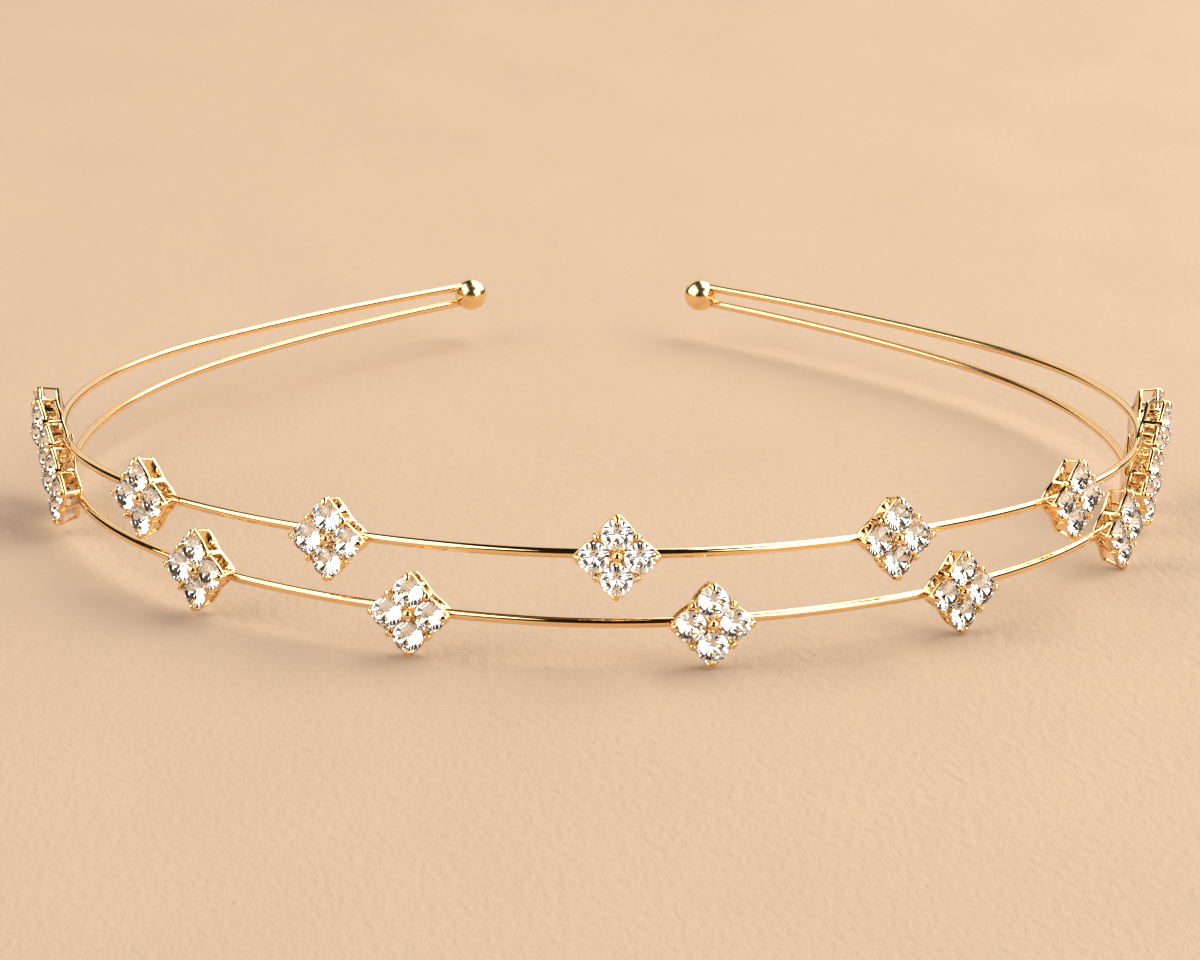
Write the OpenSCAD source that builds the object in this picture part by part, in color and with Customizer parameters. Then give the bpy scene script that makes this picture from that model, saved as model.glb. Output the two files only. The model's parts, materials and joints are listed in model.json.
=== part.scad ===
// Diadem of two slim round wires that meet in a polished ball at each end.
// Square settings stand on one corner along both wires, and each holds four round cut stones.
// Millimetres, +Z up, the middle of the forehead towards -Y, lying on the table at z = 0.

/* [Wires] */
// Diameter of both round wires
wire_d = 1.2; // [1:0.1:1.4]
// Slope of the lower wire up towards the back, in degrees
lower_rise = 0.1; // [0:0.1:1]
// Distance between the two wires at the forehead
front_spread = 8.3; // [8.2:0.1:10]
// Distance between the two wires where they reach the balls
back_spread = 2.3; // [2.2:0.1:2.5]

/* [Ball ends] */
// Diameter of each ball
ball_d = 4.6; // [4.6:0.1:6]
// Depth of the blind holes that take the wires, measured to the ball's middle
hole_stop = 0.7; // [0.5:0.1:0.9]

/* [Settings] */
// Side of the square setting
setting_side = 7.4; // [7.4:0.05:7.5]
// Depth of the setting's open box, from its back to its front rail
box_depth = 2.3; // [2.2:0.1:2.6]
// How far the upper settings beside the ears lean outwards at the top, in degrees
upper_lean = 9; // [0:1:10]
// The same for the lower settings
lower_lean = 6; // [0:1:8]

/* [Stones] */
// Diameter of each stone
stone_d = 3.6; // [3:0.05:3.6]
// Distance between two stones in a setting
stone_pitch = 3.75; // [3.7:0.05:3.8]

/* [Hidden] */
$fn = 48;
wire_r = wire_d / 2;

// Each row is an arc of a wire, from the middle of the forehead back: radius, angle turned through.
upper_arcs = [[51, 22.5], [81.5, 56.7], [96.4, 43.8], [287, 9.6]];
lower_arcs = [[45.2, 15.1], [76.2, 63.2], [107.6, 45.4], [252.6, 10.9]];
// Straight wire after the last arc, up to the ball
upper_straight = 11.7;
lower_straight = 4.1;
// The lower wire's middle stands this much in front of the upper wire's
lower_forward = 0.5;
// Extra radius and half the length of the collar where two bends of a wire join
joint_extra = 0.03;
joint_half = 0.4;
// Room round each wire in the ball's hole
hole_gap = 0.05;
// The balls sit this much in front of the wires' ends
ball_forward = 1.3;
// Depth from the middle of the upper wire to the origin, which is half the whole depth
origin_depth = 89.7;

// Each row is a setting: its distance along the wire from the middle, the angle that it is turned
// towards the side, its height over the wire and its distance in front of it
upper_settings = [
    [-119.8, 90, -1, 0.7],
    [-107.3, 75, 0, 0.7],
    [-67.8, 50, -0.15, 0.35],
    [-35.5, 30, -0.3, 0.2],
    [0, 0, 0, 0],
    [35, 30, 0, 0.2],
    [67.5, 50, 0, 0.35],
    [108.3, 75, 0, 0.7],
    [121, 91, -1, 0.7]
];
lower_settings = [
    [-112.6, 86, 0, 0],
    [-101, 74, 1, 0.7],
    [-56.4, 45, 0.4, 0.2],
    [-24.6, 21, 0, 0.2],
    [11.1, 11, 0, 0.2],
    [45.1, 35, 0, 0.3],
    [83.5, 61, 0, 0.45],
    [102, 74, 1, 0.7],
    [113.8, 86, 0, 0]
];

// Levels in a setting, measured outwards from the wire's axis
back_z = -0.5;
plate_t = 0.4;
rail_t = 0.4;
front_z = back_z + box_depth;
girdle_z = front_z + 0.35;
girdle_t = 0.12;
crown_h = 0.5;
culet_z = wire_r + 0.15;
claw_z = girdle_z + 0.28;

// Plan of a setting
half_side = setting_side / 2;
back_scale = 0.85;
corner_cut = 0.5;
wall_t = 0.36;
post_half = 0.25;
bar_w = 0.36;
window_low = 0.1;
window_far = half_side * back_scale - wall_t;
corner_claw = half_side - 0.24;
corner_head = corner_claw - 0.02;
corner_claw_r = 0.33;
side_claw = half_side - 0.3;
side_claw_r = 0.32;
middle_claw_r = 0.42;
middle_head_r = 0.55;
claw_head_r = 0.38;

// Cut of a stone: an eight-sided table over a girdle of sixteen sides
table_ratio = 0.58;
table_n = 8;
girdle_n = 16;

metal = "gold";
crystal = "white";

function numbered(stem, settings) = [for (i = [1 : len(settings)]) str(stem, i)];
upper_stones = numbered("stones_upper_", upper_settings);
lower_stones = numbered("stones_lower_", lower_settings);

// Place and heading [x, y, angle] after running a length along one arc that starts at place p
function along_arc(p, radius, angle) = [
    p[0] + radius * (sin(p[2] + angle) - sin(p[2])),
    p[1] + radius * (cos(p[2]) - cos(p[2] + angle)),
    p[2] + angle
];

// Place and heading at the end of the first n arcs
function arc_end(arcs, n) =
    n == 0 ? [0, 0, 0] : along_arc(arc_end(arcs, n - 1), arcs[n - 1][0], arcs[n - 1][1]);

function arc_length(arc) = arc[0] * arc[1] * PI / 180;

// Place and heading at a distance s from the middle of the wire, for the right-hand half
function place_at(arcs, s, i = 0) =
    i == len(arcs) - 1 || s <= arc_length(arcs[i])
        ? along_arc(arc_end(arcs, i), arcs[i][0], s / arcs[i][0] * 180 / PI)
        : place_at(arcs, s - arc_length(arcs[i]), i + 1);

// A wire's tip, as place and heading in its own plane
function tip_of(arcs, straight) =
    let (p = arc_end(arcs, len(arcs))) [p[0] + straight * cos(p[2]), p[1] + straight * sin(p[2]), p[2]];
upper_tip = tip_of(upper_arcs, upper_straight);
lower_tip = tip_of(lower_arcs, lower_straight);

// Lean of a setting that is turned by an angle: none in front, most beside the ears
function lean_at(turn, side_lean) = side_lean * pow(sin(turn), 2);

// How far below the wire's axis the lowest claw of a setting reaches, leaning by an angle
function claw_reach(item, lean) =
    (corner_head * sqrt(2) - item[2]) * cos(lean) + (claw_z + item[3]) * sin(lean) + claw_head_r;

// Height of the lower wire at the forehead with the lowest claw of one lower setting on the table
function height_for(item) =
    claw_reach(item, lean_at(item[1], lower_lean)) - place_at(lower_arcs, abs(item[0]))[1] * sin(lower_rise);
lower_height = max([for (item = lower_settings) height_for(item)]);
upper_fall = atan((front_spread - back_spread) / upper_tip[1]) - lower_rise;
upper_start = [0, -origin_depth, lower_height + front_spread];
lower_start = [0, -origin_depth - lower_forward, lower_height];

// A tip's place in space, where its wire's plane starts at a point and falls by an angle
function tip_in_space(start, fall, tip) = start + [tip[0], tip[1] * cos(fall), -tip[1] * sin(fall)];
end_heading = (upper_tip[2] + lower_tip[2]) / 2;
ball_centre = (tip_in_space(upper_start, upper_fall, upper_tip)
    + tip_in_space(lower_start, -lower_rise, lower_tip)) / 2
    + hole_stop * [cos(end_heading), sin(end_heading), 0]
    - [0, ball_forward, 0];

// The sloping plane of each wire, with the middle of the wire at the plane's own origin
module upper_plane() {
    translate(upper_start)
        rotate([-upper_fall, 0, 0])
            children();
}

module lower_plane() {
    translate(lower_start)
        rotate([lower_rise, 0, 0])
            children();
}

// Moves its children to a place on the wire, with their X along the wire
module at_place(p) {
    translate([p[0], p[1], 0])
        rotate([0, 0, p[2]])
            children();
}

// A bent piece of round wire that heads along X at angle 0 and turns left
module bend(radius, from, to) {
    translate([0, radius, 0])
        rotate([0, 0, from - 90])
            rotate_extrude(angle = to - from)
                translate([radius, 0])
                    circle(wire_r);
}

// The straight end of a wire, from a distance along it to another
module straight_end(arcs, from, to, radius) {
    at_place(arc_end(arcs, len(arcs)))
        translate([from, 0, 0])
            rotate([0, 90, 0])
                cylinder(h = to - from, r = radius);
}

// The first arc runs through the middle, as far to one side as to the other.
// A short collar, a hair wider than the wire, joins each piece to the next.
module wire(arcs, straight) {
    bend(arcs[0][0], -arcs[0][1], arcs[0][1]);
    for (side = [0, 1])
        mirror([side, 0, 0]) {
            for (i = [1 : len(arcs) - 1])
                at_place(arc_end(arcs, i))
                    bend(arcs[i][0], 0, arcs[i][1]);
            for (i = [1 : len(arcs)])
                at_place(arc_end(arcs, i))
                    rotate([0, 90, 0])
                        cylinder(h = 2 * joint_half, r = wire_r + joint_extra, center = true);
            straight_end(arcs, 0, straight, wire_r);
        }
}

// Moves its children to a setting's place: X along the wire, Y up, Z out of the face
module at_setting(arcs, item, side_lean) {
    p = place_at(arcs, abs(item[0]));
    side = item[0] < 0 ? -1 : 1;
    translate([side * p[0], p[1], 0])
        rotate([0, 0, side * item[1]])
            rotate([90 + lean_at(item[1], side_lean), 0, 0])
                translate([0, item[2], item[3]])
                    children();
}

module block(low, high) {
    translate(low)
        cube(high - low);
}

// Square outline with its four corners cut off
module box_outline() {
    a = half_side;
    c = half_side - corner_cut;
    polygon([[a, -c], [a, c], [c, a], [-c, a], [-a, c], [-a, -c], [-c, -a], [c, -a]]);
}

// Two windows through each side, with a post between them
module windows() {
    reach = half_side + 1;
    for (turn = [0, 90, 180, 270])
        rotate([0, 0, turn])
            block([-reach, post_half, window_low], [reach, window_far, front_z - rail_t]);
}

// Half the side of the box at a level, which widens evenly from back to front
function half_at(z) = half_side * (back_scale + (1 - back_scale) * (z - back_z) / box_depth);

// The tapered hollow behind the stones
module pocket() {
    low = back_z + plate_t;
    high = front_z + 0.1;
    narrow = half_at(low) - wall_t;
    wide = half_at(high) - wall_t;
    translate([0, 0, low])
        linear_extrude(high - low, scale = wide / narrow)
            square(2 * narrow, center = true);
}

module open_box() {
    difference() {
        translate([0, 0, back_z])
            linear_extrude(box_depth, scale = 1 / back_scale)
                scale(back_scale)
                    box_outline();
        pocket();
        windows();
    }
}

// A round claw that rises from the rail to a ball-shaped head
module claw(x, y, radius, head, head_r) {
    low = front_z - rail_t - 0.1;
    translate([x, y, low])
        cylinder(h = claw_z - low, r = radius);
    translate([head[0], head[1], claw_z])
        sphere(head_r);
}

module claws() {
    for (turn = [0, 90, 180, 270])
        rotate([0, 0, turn]) {
            claw(corner_claw, corner_claw, corner_claw_r, [corner_head, corner_head], claw_head_r);
            claw(side_claw, 0, side_claw_r, [side_claw, 0], claw_head_r);
        }
    claw(0, 0, middle_claw_r, [0, 0], middle_head_r);
}

module cross_bars() {
    reach = half_side - wall_t / 2;
    for (turn = [0, 90])
        rotate([0, 0, turn])
            block([-reach, -bar_w / 2, front_z - 0.35], [reach, bar_w / 2, front_z - 0.05]);
}

// The metal of one setting, turned to stand on its corner
module setting() {
    rotate([0, 0, 45]) {
        open_box();
        cross_bars();
        claws();
    }
}

// Points of an even ring at a level
function ring(n, radius, z) = [for (i = [0 : n - 1]) radius * [cos(360 * i / n), sin(360 * i / n), 0] + [0, 0, z]];

// One round cut stone: table, crown of triangles, thin girdle and pointed pavilion
module stone() {
    r = stone_d / 2;
    top = 0;
    upper = table_n;
    lower = upper + girdle_n;
    tip = lower + girdle_n;
    points = concat(
        ring(table_n, r * table_ratio, girdle_z + girdle_t + crown_h),
        ring(girdle_n, r, girdle_z + girdle_t),
        ring(girdle_n, r, girdle_z),
        [[0, 0, culet_z]]
    );
    function next_g(i) = (i + 1) % girdle_n;
    function next_t(i) = (i + 1) % table_n;
    faces = concat(
        [[for (i = [table_n - 1 : -1 : 0]) top + i]],
        [for (i = [0 : table_n - 1]) [top + i, upper + 2 * i + 1, upper + 2 * i]],
        [for (i = [0 : table_n - 1]) [top + i, top + next_t(i), upper + 2 * i + 1]],
        [for (i = [0 : table_n - 1]) [top + next_t(i), upper + next_g(2 * i + 1), upper + 2 * i + 1]],
        [for (i = [0 : girdle_n - 1]) [upper + i, upper + next_g(i), lower + next_g(i), lower + i]],
        [for (i = [0 : girdle_n - 1]) [lower + i, lower + next_g(i), tip]]
    );
    polyhedron(points, faces);
}

// The four stones of one setting, clear of each other and of the metal
module four_stones() {
    color(crystal)
        rotate([0, 0, 45])
            for (x = [-1, 1], y = [-1, 1])
                translate([x * stone_pitch / 2, y * stone_pitch / 2, 0])
                    stone();
}

module upper_band() {
    color(metal)
        upper_plane() {
            wire(upper_arcs, upper_straight);
            for (item = upper_settings)
                at_setting(upper_arcs, item, upper_lean)
                    setting();
        }
}

module lower_band() {
    color(metal)
        lower_plane() {
            wire(lower_arcs, lower_straight);
            for (item = lower_settings)
                at_setting(lower_arcs, item, lower_lean)
                    setting();
        }
}

// A ball with two blind holes, one for each wire
module ball_end() {
    color(metal)
        difference() {
            translate(ball_centre)
                rotate([0, 0, end_heading])
                    sphere(ball_d / 2);
            upper_plane()
                ball_hole(upper_arcs, upper_straight);
            lower_plane()
                ball_hole(lower_arcs, lower_straight);
        }
}

module ball_hole(arcs, straight) {
    straight_end(arcs, straight - ball_d, straight + hole_gap, wire_r + hole_gap);
}

module ball_end_right() ball_end();

module ball_end_left() mirror([1, 0, 0]) ball_end();

upper_band();
lower_band();
ball_end_left();
ball_end_right();
for (i = [0 : len(upper_settings) - 1])
    upper_plane()
            at_setting(upper_arcs, upper_settings[i], upper_lean)
                four_stones();
for (i = [0 : len(lower_settings) - 1])
    lower_plane()
            at_setting(lower_arcs, lower_settings[i], lower_lean)
                four_stones();
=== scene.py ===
"""Diadem of two thin gold wires with square settings of cut stones, lying on pale paper.

+Z is up and the middle of the forehead is towards -Y. Shapes are worked out in millimetres, as in the
solids, and become metres in mesh_from. Materials, lights and camera are in metres.
"""

import json
import math
from collections import namedtuple

import bmesh
import bpy
import numpy as np
from mathutils import Matrix, Vector

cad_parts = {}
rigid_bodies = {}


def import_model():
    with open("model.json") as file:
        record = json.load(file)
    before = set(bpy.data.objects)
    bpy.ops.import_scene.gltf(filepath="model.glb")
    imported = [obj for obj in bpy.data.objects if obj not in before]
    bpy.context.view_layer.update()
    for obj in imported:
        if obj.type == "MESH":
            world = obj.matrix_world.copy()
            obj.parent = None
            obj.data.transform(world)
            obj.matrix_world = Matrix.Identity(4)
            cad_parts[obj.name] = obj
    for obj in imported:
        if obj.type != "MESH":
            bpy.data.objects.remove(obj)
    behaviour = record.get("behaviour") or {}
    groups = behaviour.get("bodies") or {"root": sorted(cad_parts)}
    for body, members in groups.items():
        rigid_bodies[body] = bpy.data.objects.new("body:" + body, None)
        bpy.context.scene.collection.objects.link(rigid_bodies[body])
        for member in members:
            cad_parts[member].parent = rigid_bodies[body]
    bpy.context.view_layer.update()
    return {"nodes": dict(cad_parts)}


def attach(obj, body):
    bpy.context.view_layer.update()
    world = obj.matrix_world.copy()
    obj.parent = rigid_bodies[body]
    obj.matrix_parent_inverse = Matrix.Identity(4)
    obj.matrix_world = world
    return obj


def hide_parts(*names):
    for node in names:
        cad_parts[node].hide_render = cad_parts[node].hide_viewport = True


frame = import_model()

MM = 0.001

# A setting on a wire: distance along it from the forehead, degrees that it is turned to the side,
# height over the wire and distance in front of it
Setting = namedtuple("Setting", "along heading lift forward")

# A wire: arcs of (radius, degrees turned) from the middle of the forehead back, a straight end, and the
# degrees that the settings at its sides lean outwards
Wire = namedtuple("Wire", "arcs straight lean settings")

UPPER = Wire(
    arcs=((51, 22.5), (81.5, 56.7), (96.4, 43.8), (287, 9.6)),
    straight=11.7,
    lean=9,
    settings=(
        Setting(-119.8, 90, -1, 0.7),
        Setting(-107.3, 75, 0, 0.7),
        Setting(-67.8, 50, -0.15, 0.35),
        Setting(-35.5, 30, -0.3, 0.2),
        Setting(0, 0, 0, 0),
        Setting(35, 30, 0, 0.2),
        Setting(67.5, 50, 0, 0.35),
        Setting(108.3, 75, 0, 0.7),
        Setting(121, 91, -1, 0.7),
    ),
)
LOWER = Wire(
    arcs=((45.2, 15.1), (76.2, 63.2), (107.6, 45.4), (252.6, 10.9)),
    straight=4.1,
    lean=6,
    settings=(
        Setting(-112.6, 86, 0, 0),
        Setting(-101, 74, 1, 0.7),
        Setting(-56.4, 45, 0.4, 0.2),
        Setting(-24.6, 21, 0, 0.2),
        Setting(11.1, 11, 0, 0.2),
        Setting(45.1, 35, 0, 0.3),
        Setting(83.5, 61, 0, 0.45),
        Setting(102, 74, 1, 0.7),
        Setting(113.8, 86, 0, 0),
    ),
)
WIRE_RADIUS = 0.6
WIRE_SIDES = 24
WIRE_STEP = 1.0

# How the wires lie: the lower one rises by a fraction of a degree towards the back, and the upper one
# falls from the spread at the forehead to the spread at the balls
ORIGIN_DEPTH = 89.7
LOWER_FORWARD = 0.5
FRONT_SPREAD = 8.3
BACK_SPREAD = 2.3
LOWER_RISE = 0.1

# The lowest claw stands on the paper: its distance from a setting's middle, level and roundness in the solids
CLAW_HEAD = 3.44 * math.sqrt(2)
CLAW_HEAD_Z = 2.43
CLAW_HEAD_RADIUS = 0.38

# A setting is an open box between its back plate and its rim. Levels are measured outwards from the wire.
HALF_BACK = 3.5
HALF_RIM = 3.88
CORNER_ROUND = 0.7
PINCH = 0.24
BACK_Z = -0.5
PLATE_TOP = -0.05
PLATE_EDGE = 0.12
PLATE_EDGE_MID = 0.03
RIM_Z = 1.86
RIM_HALF_WIDTH = 0.11
RIM_HALF_HEIGHT = 0.24
RIM_POWER = 2.2

# Posts run from inside the plate to inside the rim
Post = namedtuple("Post", "inset half_width half_depth flare curve")
CORNER_POST = Post(inset=0.15, half_width=0.34, half_depth=0.12, flare=0.26, curve=0.7)
SIDE_POST = Post(inset=0.12, half_width=0.3, half_depth=0.12, flare=0.28, curve=0)
POST_FOOT_Z = PLATE_TOP - 0.12
POST_TOP_Z = RIM_Z + 0.1
POST_POWER = 4

# Claws go up, round a bend and down the slope of the stones
Claw = namedtuple("Claw", "reach bend over half_width half_thick")
CORNER_CLAW = Claw(reach=4.93, bend=0.4, over=0.68, half_width=0.42, half_thick=0.27)
SIDE_CLAW = Claw(reach=3.72, bend=0.34, over=0.42, half_width=0.44, half_thick=0.24)
CLAW_FOOT_Z = RIM_Z - 0.3
CLAW_BEND_Z = 2.2
CLAW_TURN = 55
CLAW_WIDEST_AT = 0.62
CLAW_FOOT_WIDTH = 0.62

# The middle claw is a bead on a round stem
STEM_RADIUS = 0.42
STEM_FOOT_Z = PLATE_TOP - 0.05
STEM_HEIGHT = 0.2
BEAD_RADIUS = 0.7
BEAD_HALF_HEIGHT = 0.66
BEAD_Z = 2.36

# The cross between the stones
BAR_FROM = 0.2
BAR_TO = HALF_RIM - PINCH - 0.3
BAR_Z = 1.6
BAR_HALF_WIDTH = 0.15
BAR_HALF_HEIGHT = 0.13
BAR_POWER = 3

# Stones: ratios are parts of the stone's radius
STONE_RADIUS = 1.9
STONE_PITCH = 3.86
GIRDLE_Z = 2.2
GIRDLE_HEIGHT = 0.1
CROWN_HEIGHT = 0.68
PAVILION_DEPTH = 1.55
TABLE_RATIO = 0.5
STAR_RATIO = 0.8
LOWER_RATIO = 0.12

# Meshes
MERGE_METRES = 1e-7
SHARP_DEGREES = 42

# Colours
GOLD = (1.0, 0.71, 0.36, 1)
CRYSTAL = (1.0, 0.995, 0.985, 1)
FOIL_OUTSIDE = (0.97, 0.92, 0.85, 1)
FOIL_INSIDE = (0.96, 0.95, 0.94, 1)
PAPER_DARK = (0.505, 0.356, 0.242, 1)
PAPER_LIGHT = (0.56, 0.398, 0.271, 1)
LAMP_WHITE = (1.0, 0.99, 0.97)
SWEEP_PEACH = (1.0, 0.84, 0.66)
ROOM = (0.9, 0.75, 0.6, 1)

# Soft boxes: direction from the diadem, distance, both sides in metres, and radiance
SoftBox = namedtuple("SoftBox", "name towards distance along across radiance colour")
STUDIO_BOXES = (
    SoftBox("box_left", (-0.78, -0.20, 0.59), 1.3, 1.9, 1.3, 2.6, LAMP_WHITE),
    SoftBox("box_front_right", (0.76, -0.52, 0.42), 1.3, 0.9, 0.9, 4.2, LAMP_WHITE),
    SoftBox("box_right", (0.58, 0.38, 0.72), 1.3, 1.6, 1.4, 3.5, LAMP_WHITE),
    SoftBox("sweep", (0.0, 0.93, 0.34), 2.2, 3.0, 1.2, 0.9, SWEEP_PEACH),
)
STONE_BOXES = (
    SoftBox("glint_left", (-0.39, -0.85, 0.36), 1.3, 0.8, 0.86, 2.0, LAMP_WHITE),
    SoftBox("glint_right", (0.4, -0.85, 0.36), 1.3, 0.75, 0.86, 2.0, LAMP_WHITE),
)
ROOM_STRENGTH = 0.015
FLOOR_HALF = 4.0

# Camera: a long lens at the photograph's angle
CAMERA_PLACE = (-0.0186, -0.7734, 0.18882)
CAMERA_PITCH = 13.66
CAMERA_YAW = -1.39
CAMERA_ROLL = 0.48
CAMERA_LENS = 180
CAMERA_SENSOR = 36
CAMERA_CLIP = (0.05, 20)


def circle(sides):
    """Angles evenly round a circle, each one once."""
    return np.linspace(0, 2 * math.pi, sides, endpoint=False)


def superellipse(v, power):
    """cos and sin raised to 2 / power with their signs kept: a circle at power 2, squarer above."""
    c, s = np.cos(v), np.sin(v)
    return np.sign(c) * np.abs(c) ** (2 / power), np.sign(s) * np.abs(s) ** (2 / power)


def arc_chain(arcs, straight):
    """Half a wire in its own plane, from the middle of the forehead to the tip.

    An arc of radius r that starts at (x0, y0) with heading h0 gives, at angle a,
    x = x0 + r (sin(h0 + a) - sin h0), y = y0 + r (cos h0 - cos(h0 + a)) and heading h0 + a.
    Returns rows of x, y, heading and length run so far.
    """
    rows = [np.zeros((1, 4))]
    for radius, degrees in arcs:
        x0, y0, h0, s0 = rows[-1][-1]
        turn = math.radians(degrees)
        a = np.linspace(0, turn, max(2, round(radius * turn / WIRE_STEP)) + 1)[1:]
        x = x0 + radius * (np.sin(h0 + a) - math.sin(h0))
        y = y0 + radius * (math.cos(h0) - np.cos(h0 + a))
        rows.append(np.stack([x, y, h0 + a, s0 + radius * a], 1))
    x0, y0, h0, s0 = rows[-1][-1]
    tip = [x0 + straight * math.cos(h0), y0 + straight * math.sin(h0), h0, s0 + straight]
    return np.concatenate(rows + [np.array([tip])])


def whole_line(wire):
    """The wire's line from left tip to right tip.

    The mirrored half has -x, the same y, -heading and -length.
    """
    half = arc_chain(wire.arcs, wire.straight)
    return np.concatenate([(half * [-1, 1, -1, -1])[:0:-1], half])


def in_plane(points, start, angle):
    """Turns points about X by an angle and moves them, from a wire's own plane into space."""
    c, s = math.cos(angle), math.sin(angle)
    turn = np.array([[1, 0, 0], [0, c, -s], [0, s, c]])
    return points @ turn.T + start


def grid(points):
    """Vertices and four-sided faces of a grid of points [along, round, xyz] that closes round."""
    rows, cols = points.shape[:2]
    index = np.arange(rows * cols).reshape(rows, cols)
    index = np.concatenate([index, index[:, :1]], 1)
    corners = [index[:-1, :-1], index[1:, :-1], index[1:, 1:], index[:-1, 1:]]
    return points.reshape(-1, 3), np.stack(corners, -1).reshape(-1, 4)


def closed_tube(rings):
    """A tube of rings [along, round, xyz] with each end drawn together to the middle of its last ring."""
    first = np.broadcast_to(rings[:1].mean(1, keepdims=True), rings[:1].shape)
    last = np.broadcast_to(rings[-1:].mean(1, keepdims=True), rings[-1:].shape)
    return grid(np.concatenate([first, rings, last]))


def flipped(part):
    """The part with its faces turned the other way round."""
    return part[0], part[1][:, ::-1]


def turned(part, degrees):
    """The part turned about the setting's own Z."""
    c, s = math.cos(math.radians(degrees)), math.sin(math.radians(degrees))
    return part[0] @ np.array([[c, s, 0], [-s, c, 0], [0, 0, 1]]), part[1]


def joined(parts):
    """One set of vertices and faces out of several."""
    offsets = np.cumsum([0] + [len(v) for v, _ in parts[:-1]])
    return np.concatenate([v for v, _ in parts]), np.concatenate([f + o for (_, f), o in zip(parts, offsets)])


def wire_tube(line):
    """A round tube along a line of x, y, heading: centre + r (cos v * outward + sin v * up)."""
    v = circle(WIRE_SIDES)
    x, y, heading = line[:, 0:1], line[:, 1:2], line[:, 2:3]
    out, up = WIRE_RADIUS * np.cos(v), WIRE_RADIUS * np.sin(v)
    rings = np.stack([x + out * np.sin(heading), y - out * np.cos(heading), 0 * x + up], -1)
    return closed_tube(rings)


def box_outline(half, inset, per_side=17, per_corner=6):
    """A square with round corners, counter-clockwise, drawn in by an inset.

    Its sides dip in at their middles by PINCH * (1 + cos(pi x / reach)) / 2, out to half a stone's pitch.
    """
    half, corner = half - inset, CORNER_ROUND - inset
    flat = half - corner
    x = np.linspace(-flat, flat, per_side)
    reach = STONE_PITCH / 2
    dip = np.where(np.abs(x) < reach, PINCH * (1 + np.cos(math.pi * x / reach)) / 2, 0)
    a = np.radians(np.linspace(-90, 0, per_corner + 2)[1:-1])
    side = np.stack([x, dip - half], 1)
    arc = np.stack([flat + corner * np.cos(a), -flat + corner * np.sin(a)], 1)
    quarter = np.concatenate([side, arc])
    turns = [np.array([[c, s], [-s, c]]) for c, s in ((1, 0), (0, 1), (-1, 0), (0, -1))]
    return np.concatenate([quarter @ turn for turn in turns])


def half_at(z):
    """Half the side of the box at a level: it widens evenly from back to front."""
    return HALF_BACK + (HALF_RIM - HALF_BACK) * (z - BACK_Z) / (RIM_Z - BACK_Z)


def corner_at(z):
    """How far the box's round corner is from the middle at a level."""
    return (half_at(z) - CORNER_ROUND) * math.sqrt(2) + CORNER_ROUND


def side_at(z):
    """How far the box's side is from the middle at a level, where it dips in."""
    return half_at(z) - PINCH


def back_plate():
    """The closed back: the box's outline at six levels, drawn in at both faces, then to its middle."""
    half = half_at((BACK_Z + PLATE_TOP) / 2)
    insets = np.array([PLATE_EDGE, PLATE_EDGE_MID, 0])
    levels = np.concatenate([BACK_Z + insets[::-1], PLATE_TOP - insets])
    outlines = [box_outline(half, inset) for inset in np.concatenate([insets, insets[::-1]])]
    rings = np.stack([np.insert(outline, 2, z, axis=1) for outline, z in zip(outlines, levels)])
    return flipped(closed_tube(rings))


def rim(sides=10):
    """A rounded bar carried round the front of the box: point + a * outward normal + b * up."""
    outline = box_outline(HALF_RIM, RIM_HALF_WIDTH)
    tangent = np.roll(outline, -1, 0) - np.roll(outline, 1, 0)
    tangent /= np.linalg.norm(tangent, axis=1, keepdims=True)
    normal = np.stack([tangent[:, 1], -tangent[:, 0]], 1)
    a, b = superellipse(circle(sides), RIM_POWER)
    flat = outline[:, None] + normal[:, None] * (a * RIM_HALF_WIDTH)[None, :, None]
    height = np.broadcast_to(RIM_Z + b * RIM_HALF_HEIGHT, flat.shape[:2])
    points = np.concatenate([flat, height[..., None]], -1)
    return grid(np.concatenate([points, points[:1]]))


def post(spec, distance_at, rows=13, sides=12):
    """A flat bar along +X's side of the box, from the plate to the rim.

    Its width grows by a quarter circle to both ends, as the windows are round, and its edges bend inwards by
    curve * (distance from its middle line)^2. distance_at gives how far out the box is at a level.
    """
    t = np.linspace(-1, 1, rows)
    half = (POST_TOP_Z - POST_FOOT_Z) / 2
    from_end = np.clip((np.abs(t) * half - (half - spec.flare)) / spec.flare, 0, 1)
    width = spec.half_width + spec.flare * (1 - np.sqrt(1 - from_end**2))
    a, b = superellipse(circle(sides), POST_POWER)
    level = ((POST_FOOT_Z + POST_TOP_Z) / 2 + t * half)[:, None]
    side = width[:, None] * b
    out = distance_at(level) - spec.inset + spec.half_depth * a - spec.curve * side**2
    return flipped(closed_tube(np.stack([out, side, level + 0 * side], -1)))


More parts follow.
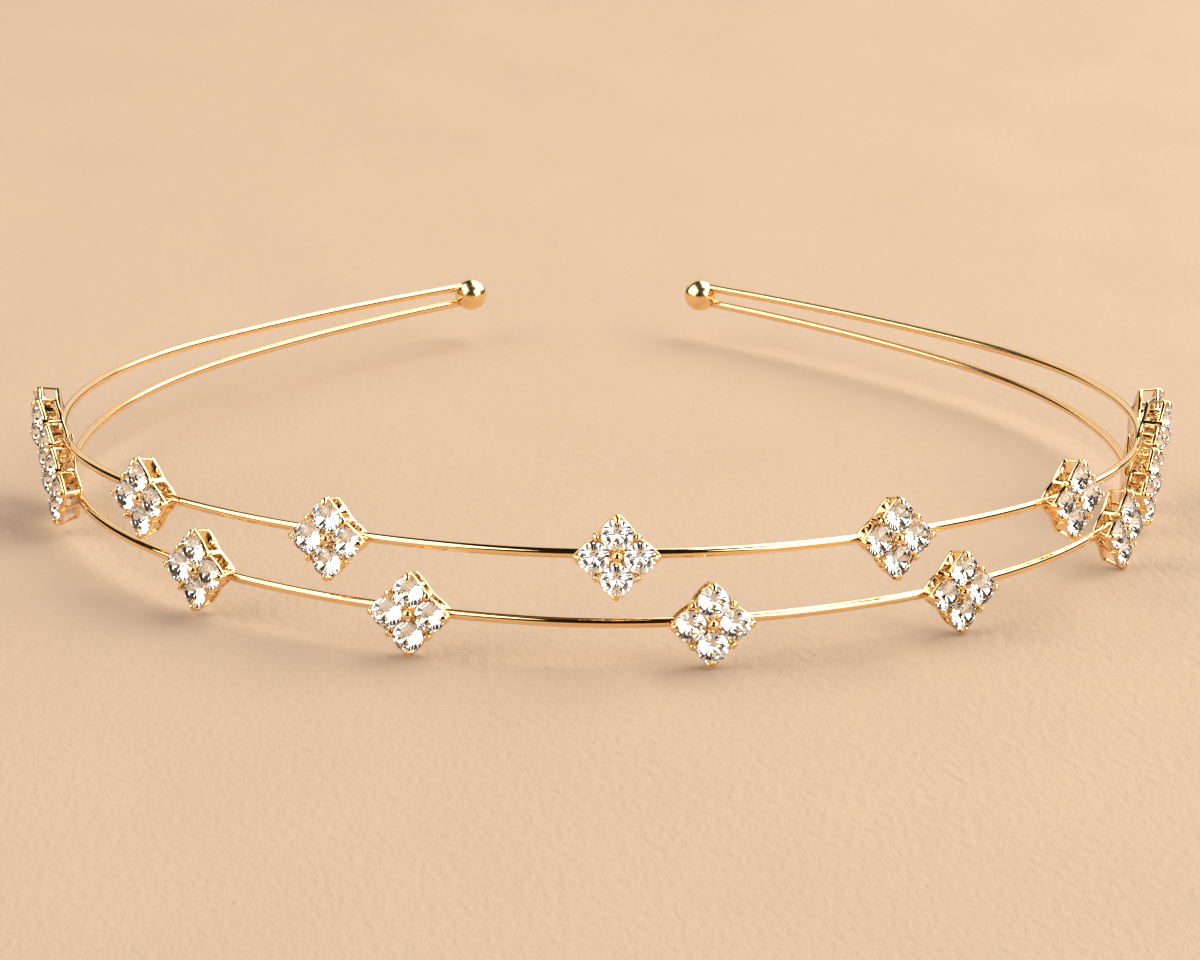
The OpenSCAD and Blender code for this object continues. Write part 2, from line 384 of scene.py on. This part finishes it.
def claw(spec, sides=16, rise_rows=5, bend_rows=8):
    """A flat claw that stands on +X's side, bends inwards and lies on the stones.

    Its middle line runs up, along an arc of CLAW_TURN degrees and on by a length, down the slope of the
    stones. Across it is an oval, whose width swells as sin^2 from the foot to the widest place and closes as
    half an ellipse at the tip.
    """
    turn = math.radians(CLAW_TURN)
    rise = CLAW_BEND_Z - CLAW_FOOT_Z
    up = np.linspace(0, rise, rise_rows)
    a = np.linspace(0, turn, bend_rows + 1)[1:]
    on = np.linspace(0, spec.over, bend_rows + 1)[1:]
    bend_in, bend_up = spec.bend * (1 - math.cos(turn)), spec.bend * math.sin(turn)
    in_by = np.concatenate([0 * up, spec.bend * (1 - np.cos(a)), bend_in + on * math.sin(turn)])
    height = np.concatenate([up, rise + spec.bend * np.sin(a), rise + bend_up + on * math.cos(turn)])
    lean = np.concatenate([0 * up, a, turn + 0 * on])
    run = np.concatenate([up, rise + spec.bend * a, rise + spec.bend * turn + on])
    t = run / run[-1]
    to_widest = np.clip(t / CLAW_WIDEST_AT, 0, 1)
    from_widest = np.clip((t - CLAW_WIDEST_AT) / (1 - CLAW_WIDEST_AT), 0, 1)
    swell = CLAW_FOOT_WIDTH + (1 - CLAW_FOOT_WIDTH) * np.sin(to_widest * math.pi / 2) ** 2
    close = np.sqrt(1 - from_widest**2)
    v = circle(sides)
    side = (spec.half_width * swell * close)[:, None] * np.cos(v)
    deep = (spec.half_thick * np.sqrt(close))[:, None] * np.sin(v)
    out = (spec.reach - in_by)[:, None] + deep * np.cos(lean)[:, None]
    level = (CLAW_FOOT_Z + height)[:, None] + deep * np.sin(lean)[:, None]
    return closed_tube(np.stack([out, side, level], -1))


def bead_on_stem(sides=24, rows=14):
    """The middle claw: a round stem under an oval bead, turned about Z from a profile of radius and height.

    The bead's profile is radius = BEAD_RADIUS sin a and height = BEAD_Z - BEAD_HALF_HEIGHT cos a.
    """
    a = np.linspace(math.asin(STEM_RADIUS / BEAD_RADIUS), math.pi, rows)
    radius = np.concatenate([[STEM_RADIUS, STEM_RADIUS], BEAD_RADIUS * np.sin(a)])[:, None]
    height = np.concatenate([[STEM_FOOT_Z, STEM_FOOT_Z + STEM_HEIGHT], BEAD_Z - BEAD_HALF_HEIGHT * np.cos(a)])
    v = circle(sides)
    rings = np.stack([radius * np.cos(v), radius * np.sin(v), height[:, None] + 0 * v], -1)
    return flipped(closed_tube(rings))


def cross_arm(sides=8, rows=4):
    """One arm of the cross between the stones, along +X from the bead to the rim."""
    a, b = superellipse(circle(sides) + math.pi / sides, BAR_POWER)
    x = np.linspace(BAR_FROM, BAR_TO, rows)[:, None]
    rings = np.stack([x + 0 * a, BAR_HALF_WIDTH * a + 0 * x, BAR_Z + BAR_HALF_HEIGHT * b + 0 * x], -1)
    return closed_tube(rings)


def setting_metal():
    """The gold of one setting, square to its own X and Y, before it stands on its corner."""
    at_corners = [post(CORNER_POST, corner_at), claw(CORNER_CLAW)]
    at_sides = [post(SIDE_POST, side_at), claw(SIDE_CLAW), cross_arm()]
    parts = [back_plate(), rim(), bead_on_stem()]
    for quarter in (0, 90, 180, 270):
        parts += [turned(part, quarter + 45) for part in at_corners]
        parts += [turned(part, quarter) for part in at_sides]
    return joined(parts)


def placed(line, item, side_lean):
    """Matrix rows and place for a setting: its X along the band, Y up and Z out, leaning beside the ears."""
    x, y = (np.interp(item.along, line[:, 3], line[:, k]) for k in range(2))
    heading = math.copysign(math.radians(item.heading), item.along)
    lean = math.radians(90 + side_lean * math.sin(heading) ** 2)
    c, s = math.cos(heading), math.sin(heading)
    cl, sl = math.cos(lean), math.sin(lean)
    turn = np.array([[c, -s * cl, s * sl], [s, c * cl, -c * sl], [0, sl, cl]])
    half = math.sqrt(0.5)
    on_corner = np.array([[half, -half, 0], [half, half, 0], [0, 0, 1]])
    return turn @ on_corner, np.array([x, y, 0.0]) + turn @ [0, item.lift, item.forward]


def brilliant():
    """One round cut stone: its vertices in rings of eight or sixteen, and its crown and pavilion faces.

    The crown's eight main facets lie in planes that fall from the table's corners to the girdle, so the
    star points' height is z = table - (r cos 22.5 - table radius) * slope. The pavilion is cut the same way.
    """
    r = STONE_RADIUS
    z_high = GIRDLE_Z + GIRDLE_HEIGHT
    z_table = z_high + CROWN_HEIGHT
    culet = GIRDLE_Z - PAVILION_DEPTH
    half = math.cos(math.radians(22.5))
    slope = CROWN_HEIGHT / (r - TABLE_RATIO * r)
    star_z = z_table - (STAR_RATIO * half - TABLE_RATIO) * r * slope
    low_z = culet + LOWER_RATIO * half * PAVILION_DEPTH

    def ring(n, radius, z, shift=0.0):
        a = np.radians(360 / n * (np.arange(n) + shift))
        return np.stack([radius * np.cos(a), radius * np.sin(a), 0 * a + z], 1)

    points = np.concatenate([
        ring(8, TABLE_RATIO * r, z_table), ring(8, STAR_RATIO * r, star_z, 0.5), ring(16, r, z_high),
        ring(16, r, GIRDLE_Z), ring(8, LOWER_RATIO * r, low_z, 0.5), [[0, 0, culet]],
    ])
    k, g = np.arange(8), np.arange(16)
    table, star, top, bottom, low, tip = 0, 8, 16, 32, 48, 56
    after, before, next_g = (k + 1) % 8, (k - 1) % 8, (g + 1) % 16
    crown = [
        np.stack([table + k, star + k, table + after], 1),
        np.stack([table + k, star + before, top + 2 * k, star + k], 1),
        np.stack([star + k, top + 2 * k, top + 2 * k + 1], 1),
        np.stack([star + k, top + 2 * k + 1, top + 2 * after], 1),
        np.stack([top + g, bottom + g, bottom + next_g, top + next_g], 1),
        (table + k)[None],
    ]
    pavilion = [
        np.stack([0 * k + tip, low + k, bottom + 2 * k, low + before], 1),
        np.stack([bottom + 2 * k, low + k, bottom + 2 * k + 1], 1),
        np.stack([bottom + 2 * k + 1, low + k, bottom + 2 * after], 1),
    ]
    return points, crown, pavilion


def four_stones():
    """A setting's four stones: vertices, faces, and for each face 0 for clear crystal or 1 for foil."""
    points, crown, pavilion = brilliant()
    offsets = STONE_PITCH / 2 * np.array([(x, y, 0) for x in (-1, 1) for y in (-1, 1)])
    vertices = (points[None] + offsets[:, None]).reshape(-1, 3)
    faces, kinds = [], []
    for stone in range(len(offsets)):
        for blocks, kind in ((crown, 0), (pavilion, 1)):
            for block in blocks:
                faces += (block + stone * len(points)).tolist()
                kinds += [kind] * len(block)
    return vertices, faces, kinds


def mesh_from(name, vertices, faces, materials):
    """An object in metres from vertices in millimetres."""
    mesh = bpy.data.meshes.new(name)
    mesh.from_pydata((vertices * MM).tolist(), [], faces)
    for material in materials:
        mesh.materials.append(material)
    obj = bpy.data.objects.new(name, mesh)
    bpy.context.scene.collection.objects.link(obj)
    return obj


def smooth(mesh):
    """Merges doubles and shades the mesh smooth, with sharp edges past SHARP_DEGREES."""
    work = bmesh.new()
    work.from_mesh(mesh)
    bmesh.ops.remove_doubles(work, verts=work.verts, dist=MERGE_METRES)
    work.to_mesh(mesh)
    work.free()
    mesh.polygons.foreach_set("use_smooth", np.ones(len(mesh.polygons), bool))
    mesh.set_sharp_from_angle(angle=math.radians(SHARP_DEGREES))
    mesh.update()


def new_material(name, values):
    """A material whose main shader has these constants, with its node tree and that shader."""
    material = bpy.data.materials.new(name)
    material.use_nodes = True
    shader = material.node_tree.nodes["Principled BSDF"]
    set_sockets(shader, values)
    return material, material.node_tree, shader


def set_sockets(node, values):
    """Sets inputs of a shader node, by name or number, to constants."""
    for socket, value in values.items():
        node.inputs[socket].default_value = value


def object_coordinates(tree):
    """The output of a node with the object's own coordinates."""
    return tree.nodes.new("ShaderNodeTexCoord").outputs["Object"]


def noise(tree, vector, scale, detail):
    """The output of a noise texture, from 0 to 1."""
    node = tree.nodes.new("ShaderNodeTexNoise")
    set_sockets(node, {"Scale": scale, "Detail": detail})
    tree.links.new(vector, node.inputs["Vector"])
    return node.outputs["Fac"]


def mapped(tree, value, from_range, to_range):
    """The value carried from one range to another."""
    node = tree.nodes.new("ShaderNodeMapRange")
    set_sockets(node, {"From Min": from_range[0], "From Max": from_range[1]})
    set_sockets(node, {"To Min": to_range[0], "To Max": to_range[1]})
    tree.links.new(value, node.inputs["Value"])
    return node.outputs["Result"]


def depth(tree, vector):
    """The Y coordinate, which grows from the forehead to the back."""
    node = tree.nodes.new("ShaderNodeSeparateXYZ")
    tree.links.new(vector, node.inputs["Vector"])
    return node.outputs["Y"]


def add_bump(tree, shader, height, values):
    """A bump on the main shader; returns its node."""
    node = tree.nodes.new("ShaderNodeBump")
    set_sockets(node, values)
    tree.links.new(height, node.inputs["Height"])
    tree.links.new(node.outputs["Normal"], shader.inputs["Normal"])
    return node


def gold_material():
    """Polished gold plating with soft clouds of roughness and a faint ripple, more satin towards the back."""
    material, tree, shader = new_material("polished_gold", {"Base Color": GOLD, "Metallic": 1.0})
    coords = object_coordinates(tree)
    clouds = noise(tree, coords, scale=420.0, detail=4.0)
    polish = mapped(tree, clouds, from_range=(0.0, 1.0), to_range=(0.03, 0.11))
    satin = mapped(tree, depth(tree, coords), from_range=(-0.07, 0.09), to_range=(0.0, 0.15))
    total = tree.nodes.new("ShaderNodeMath")
    total.operation = "ADD"
    tree.links.new(polish, total.inputs[0])
    tree.links.new(satin, total.inputs[1])
    tree.links.new(total.outputs["Value"], shader.inputs["Roughness"])
    ripple = noise(tree, coords, scale=900.0, detail=2.0)
    add_bump(tree, shader, ripple, {"Strength": 0.05, "Distance": 0.0001})
    return material


def glass_material():
    """Clear cut crystal."""
    values = {"Base Color": CRYSTAL, "Roughness": 0.0, "IOR": 1.6, "Transmission Weight": 1.0}
    return new_material("clear_crystal", values)[0]


def foil_material():
    """The stone's silvered back: a mirror from inside, and under a pale lacquer from outside."""
    material, tree, shader = new_material("foil_back", {"Metallic": 1.0, "Roughness": 0.03})
    side = tree.nodes.new("ShaderNodeNewGeometry")
    colour = tree.nodes.new("ShaderNodeMix")
    colour.data_type = "RGBA"
    # A Mix node's sockets 6, 7 and 2 are its two colours and their mixture
    set_sockets(colour, {6: FOIL_OUTSIDE, 7: FOIL_INSIDE})
    tree.links.new(side.outputs["Backfacing"], colour.inputs[0])
    tree.links.new(colour.outputs[2], shader.inputs["Base Color"])
    return material


def paper_material():
    """Smooth warm paper: a slow change of tone and a fine tooth that fades towards the back."""
    values = {"Roughness": 0.75, "Specular IOR Level": 0.25}
    material, tree, shader = new_material("peach_paper", values)
    coords = object_coordinates(tree)
    fibres = tree.nodes.new("ShaderNodeMapping")
    set_sockets(fibres, {"Scale": (1.0, 0.4, 1.0)})
    tree.links.new(coords, fibres.inputs["Vector"])
    along = fibres.outputs["Vector"]
    ramp = tree.nodes.new("ShaderNodeValToRGB")
    ramp.color_ramp.elements[0].color = PAPER_DARK
    ramp.color_ramp.elements[1].color = PAPER_LIGHT
    tone = noise(tree, along, scale=45.0, detail=5.0)
    tree.links.new(tone, ramp.inputs["Fac"])
    tree.links.new(ramp.outputs["Color"], shader.inputs["Base Color"])
    tooth = noise(tree, along, scale=900.0, detail=4.0)
    bump = add_bump(tree, shader, tooth, {"Distance": 0.0006})
    fade = mapped(tree, depth(tree, coords), from_range=(-0.12, 0.08), to_range=(0.6, 0.2))
    tree.links.new(fade, bump.inputs["Strength"])
    return material


def build_row(name, wire, start, angle, gold, crystal):
    """One wire with its settings, and a piece of four stones for each setting."""
    line = whole_line(wire)
    parts = [wire_tube(line)]
    metal_vertices, metal_faces = setting_metal()
    stone_vertices, stone_faces, kinds = four_stones()
    for number, item in enumerate(wire.settings, 1):
        turn, place = placed(line, item, wire.lean)
        parts.append((metal_vertices @ turn.T + place, metal_faces))
        stones = in_plane(stone_vertices @ turn.T + place, start, angle)
        piece = mesh_from(f"crystals_{name}_{number}", stones, stone_faces, crystal)
        piece.data.polygons.foreach_set("material_index", kinds)
        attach(piece, "root")
        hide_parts(f"stones_{name}_{number}")
    vertices, faces = joined(parts)
    band = mesh_from(f"{name}_wire_and_settings", in_plane(vertices, start, angle), faces.tolist(), [gold])
    smooth(band.data)
    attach(band, "root")
    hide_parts(f"{name}_band")


def claw_drop(item, side_lean):
    """How far the lowest claw of a setting reaches below the wire's middle line."""
    lean = math.radians(side_lean * math.sin(math.radians(item.heading)) ** 2)
    down = (CLAW_HEAD - item.lift) * math.cos(lean)
    return down + (CLAW_HEAD_Z + item.forward) * math.sin(lean) + CLAW_HEAD_RADIUS


def lower_height(line, rise):
    """The lower wire's level at the forehead that sets its lowest claw on the paper."""
    climbs = [np.interp(item.along, line[:, 3], line[:, 1]) * math.sin(rise) for item in LOWER.settings]
    return max(claw_drop(item, LOWER.lean) - climb for item, climb in zip(LOWER.settings, climbs))


def build_diadem():
    """Both wires in their sloping planes, and the gold of the ball ends."""
    gold, crystal = gold_material(), [glass_material(), foil_material()]
    rise = math.radians(LOWER_RISE)
    height = lower_height(whole_line(LOWER), rise)
    fall = math.atan((FRONT_SPREAD - BACK_SPREAD) / whole_line(UPPER)[-1, 1]) - rise
    build_row("lower", LOWER, [0, -ORIGIN_DEPTH - LOWER_FORWARD, height], rise, gold, crystal)
    build_row("upper", UPPER, [0, -ORIGIN_DEPTH, height + FRONT_SPREAD], -fall, gold, crystal)
    for node in ("ball_end_left", "ball_end_right"):
        ball = frame["nodes"][node]
        ball.data.materials.clear()
        ball.data.materials.append(gold)


def build_floor():
    """A wide sheet of paper under the diadem."""
    mesh = bpy.data.meshes.new("paper")
    corners = [(-1, -1), (1, -1), (1, 1), (-1, 1)]
    mesh.from_pydata([(x * FLOOR_HALF, y * FLOOR_HALF, 0) for x, y in corners], [], [(0, 1, 2, 3)])
    mesh.materials.append(paper_material())
    paper = bpy.data.objects.new("paper", mesh)
    bpy.context.scene.collection.objects.link(paper)


def soft_box(box):
    """A large rectangular light that faces the diadem, its power being radiance * pi * area.

    Its first side runs as near to the Y axis as the facing allows, or to X for a light in front or behind.
    """
    light = bpy.data.lights.new(box.name, "AREA")
    light.shape = "RECTANGLE"
    light.size, light.size_y = box.along, box.across
    light.energy = box.radiance * math.pi * box.along * box.across
    light.color = box.colour
    obj = bpy.data.objects.new(box.name, light)
    away = Vector(box.towards).normalized()
    guide = Vector((0, 1, 0)) if abs(away.y) < 0.7 else Vector((1, 0, 0))
    side = (guide - guide.dot(away) * away).normalized()
    turn = Matrix((side, away.cross(side), away)).transposed().to_4x4()
    obj.matrix_world = Matrix.Translation(away * box.distance) @ turn
    bpy.context.scene.collection.objects.link(obj)
    return obj


def build_lights():
    """Two soft boxes in front and a large one on the right, with the paper's pale sweep behind.

    Two more stand beside the lens and light the stones only, for their sparkle.
    """
    for box in STUDIO_BOXES:
        soft_box(box)
    stones = bpy.data.collections.new("stones")
    for obj in bpy.context.scene.objects:
        if obj.name.startswith("crystals"):
            stones.objects.link(obj)
    for box in STONE_BOXES:
        soft_box(box).light_linking.receiver_collection = stones
    world = bpy.data.worlds.new("studio")
    world.use_nodes = True
    set_sockets(world.node_tree.nodes["Background"], {"Color": ROOM, "Strength": ROOM_STRENGTH})
    bpy.context.scene.world = world


def build_camera():
    """The camera, turned to its side by yaw, down by pitch and about its own line of sight by roll."""
    pitch, yaw, roll = (math.radians(a) for a in (CAMERA_PITCH, CAMERA_YAW, CAMERA_ROLL))
    data = bpy.data.cameras.new("camera")
    data.lens, data.sensor_width = CAMERA_LENS, CAMERA_SENSOR
    data.clip_start, data.clip_end = CAMERA_CLIP
    camera = bpy.data.objects.new("camera", data)
    ahead = Vector((-math.sin(yaw) * math.cos(pitch), math.cos(yaw) * math.cos(pitch), -math.sin(pitch)))
    level = Vector((math.cos(yaw), math.sin(yaw), 0))
    upright = level.cross(ahead)
    right = math.cos(roll) * level + math.sin(roll) * upright
    up = math.cos(roll) * upright - math.sin(roll) * level
    turn = Matrix((right, up, -ahead)).transposed().to_4x4()
    camera.matrix_world = Matrix.Translation(CAMERA_PLACE) @ turn
    bpy.context.scene.collection.objects.link(camera)
    bpy.context.scene.camera = camera


build_diadem()
build_floor()
build_lights()
build_camera()
bpy.context.scene.view_settings.view_transform = "Standard"
